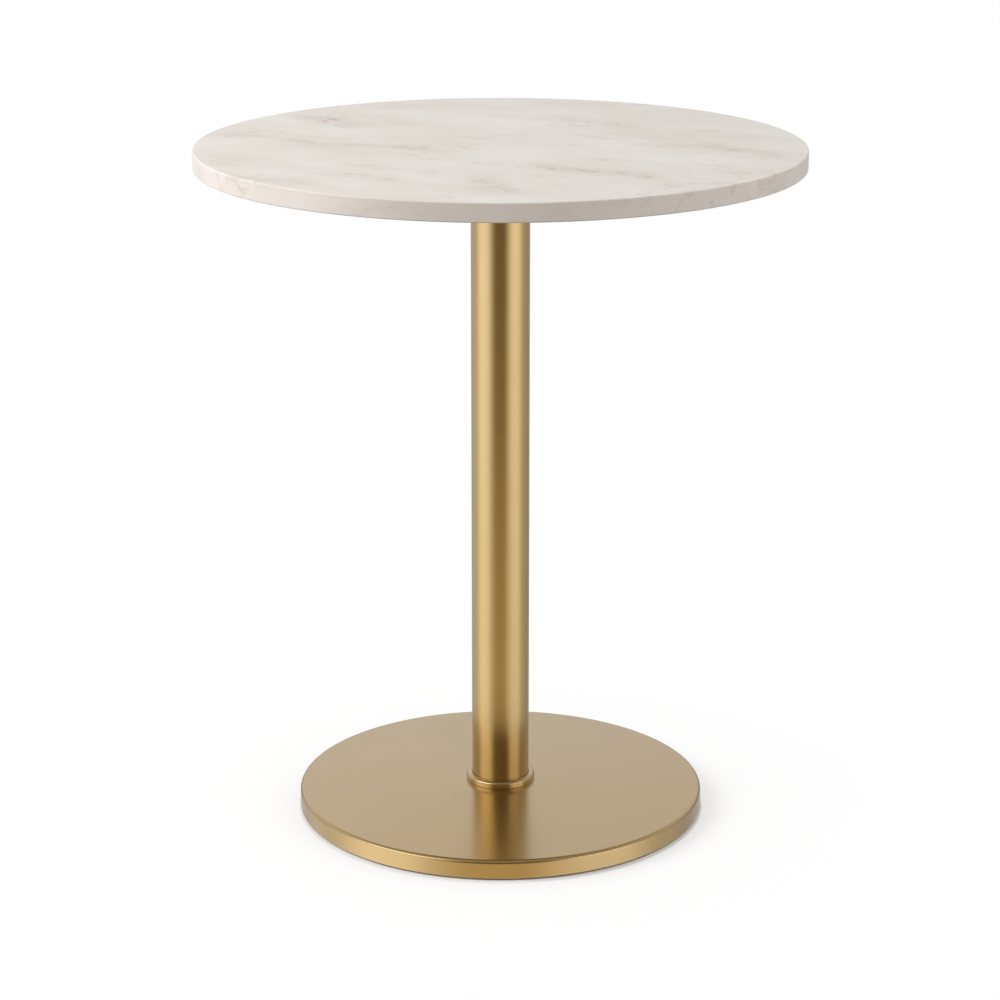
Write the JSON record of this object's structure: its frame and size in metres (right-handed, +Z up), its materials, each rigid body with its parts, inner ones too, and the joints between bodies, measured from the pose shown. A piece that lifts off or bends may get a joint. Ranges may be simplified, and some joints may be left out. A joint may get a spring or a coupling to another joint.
{
  "type": "round pedestal table",
  "caption": "Round pedestal table with a pale veined stone top, a satin brass column with a foot collar and a wide flat round brass base on levelling glides.",
  "frame": {"origin": "centre of the floor contact plane, under the column's axis", "axes": "+Z up along the column, -Y towards the front as pictured, +X to the viewer's right"},
  "size_m": [0.6499, 0.65, 0.745],
  "materials": {
    "marble": "satin",
    "satin_brass": "satin",
    "insert_brass": "satin",
    "black_steel": "matte",
    "zinc_steel": "satin",
    "turned_steel": "satin",
    "black_rubber": "matte",
    "grey_foam": "matte",
    "black_nylon": "matte"
  },
  "bodies": {
    "table": {"tabletop": "marble", "tabletop_inserts": "insert_brass", "cushion_strips": "black_rubber", "spider_plate": "black_steel", "spider_screws": "zinc_steel", "spider_washers": "zinc_steel", "top_hub": "turned_steel", "tie_rod": "zinc_steel", "tie_rod_nut": "zinc_steel", "tie_rod_lock_washer": "zinc_steel", "tie_rod_washer": "zinc_steel", "column_tube": "satin_brass", "base_collar": "satin_brass", "collar_o_ring": "black_rubber", "base_cover": "satin_brass", "base_hub": "turned_steel", "hub_screws": "zinc_steel", "base_weight": "black_steel", "foam_ring": "grey_foam", "glide_bushes": "zinc_steel"},
    "front_left_pad": {"glide_pad_front_left": "black_nylon"},
    "front_left_stud": {"glide_stud_front_left": "zinc_steel"},
    "front_right_pad": {"glide_pad_front_right": "black_nylon"},
    "front_right_stud": {"glide_stud_front_right": "zinc_steel"},
    "back_left_pad": {"glide_pad_back_left": "black_nylon"},
    "back_left_stud": {"glide_stud_back_left": "zinc_steel"},
    "back_right_pad": {"glide_pad_back_right": "black_nylon"},
    "back_right_stud": {"glide_stud_back_right": "zinc_steel"}
  },
  "joints": [
    {"name": "front_left_glide_height", "type": "slide", "parent": "table", "child": "front_left_pad", "axis": [0, 0, -1], "range_m": [0, 0.00625]},
    {"name": "front_left_glide_turn", "type": "hinge", "parent": "front_left_pad", "child": "front_left_stud", "pos_m": [-0.13435, -0.13435, 0], "axis": [0, 0, -1], "range_deg": [0, 1800]},
    {"name": "front_right_glide_height", "type": "slide", "parent": "table", "child": "front_right_pad", "axis": [0, 0, -1], "range_m": [0, 0.00625]},
    {"name": "front_right_glide_turn", "type": "hinge", "parent": "front_right_pad", "child": "front_right_stud", "pos_m": [0.13435, -0.13435, 0], "axis": [0, 0, -1], "range_deg": [0, 1800]},
    {"name": "back_left_glide_height", "type": "slide", "parent": "table", "child": "back_left_pad", "axis": [0, 0, -1], "range_m": [0, 0.00625]},
    {"name": "back_left_glide_turn", "type": "hinge", "parent": "back_left_pad", "child": "back_left_stud", "pos_m": [-0.13435, 0.13435, 0], "axis": [0, 0, -1], "range_deg": [0, 1800]},
    {"name": "back_right_glide_height", "type": "slide", "parent": "table", "child": "back_right_pad", "axis": [0, 0, -1], "range_m": [0, 0.00625]},
    {"name": "back_right_glide_turn", "type": "hinge", "parent": "back_right_pad", "child": "back_right_stud", "pos_m": [0.13435, 0.13435, 0], "axis": [0, 0, -1], "range_deg": [0, 1800]}
  ],
  "couplings": [
    {"joint": "front_left_glide_turn", "follows": "front_left_glide_height", "rad_per_m": 5026.5},
    {"joint": "front_right_glide_turn", "follows": "front_right_glide_height", "rad_per_m": 5026.5},
    {"joint": "back_left_glide_turn", "follows": "back_left_glide_height", "rad_per_m": 5026.5},
    {"joint": "back_right_glide_turn", "follows": "back_right_glide_height", "rad_per_m": 5026.5}
  ]
}
